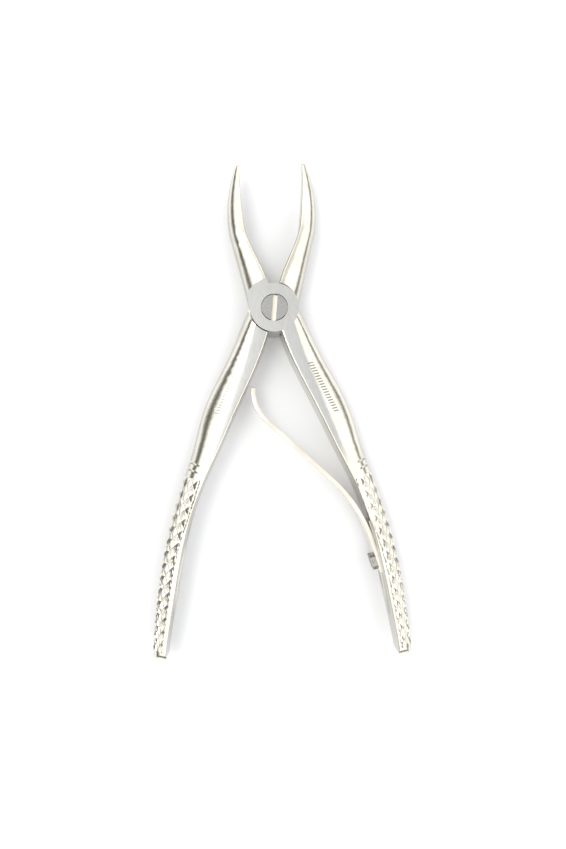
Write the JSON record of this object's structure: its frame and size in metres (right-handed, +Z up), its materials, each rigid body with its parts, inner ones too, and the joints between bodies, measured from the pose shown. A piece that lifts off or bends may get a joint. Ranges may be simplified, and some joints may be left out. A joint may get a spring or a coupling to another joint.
{
  "type": "extraction forceps",
  "caption": "Slender children's tooth extraction forceps: two crossed polished halves on a flush slotted screw, knurled handles and a leaf spring that opens them.",
  "frame": {"origin": "on the pivot's axis, in the plane that the forceps rest on: the back face of the joint", "axes": "+Y along the line of symmetry to the beak tips, +X to the right, +Z up, along the pivot's axis towards the screw's head"},
  "size_m": [0.0642, 0.1227, 0.0092],
  "materials": {
    "polished_steel": "hand-polished stainless forging, satin on the flat joint face",
    "satin_steel": "satin turned stainless screw",
    "spring_steel": "polished spring strip, slightly warm"
  },
  "bodies": {
    "front": {"front_half": "polished_steel", "spring_foot": "spring_steel", "spring_screw": "satin_steel"},
    "back": {"back_half": "polished_steel", "pivot_screw": "satin_steel"},
    "leaf": {"spring_arm": "spring_steel"}
  },
  "joints": [
    {"name": "pivot", "type": "hinge", "parent": "front", "child": "back", "pos_m": [0, 0, 0.0046], "axis": [0, 0, 1], "range_deg": [-3, 23.6], "stiffness_Nm_per_rad": 0.8},
    {"name": "leaf_flex", "type": "hinge", "parent": "front", "child": "leaf", "pos_m": [0.01826, -0.04801, 0.0046], "axis": [0, 0, 1], "range_deg": [-16.6, 2.2]}
  ],
  "couplings": [
    {"joint": "leaf_flex", "follows": "pivot", "ratio": -0.7}
  ]
}
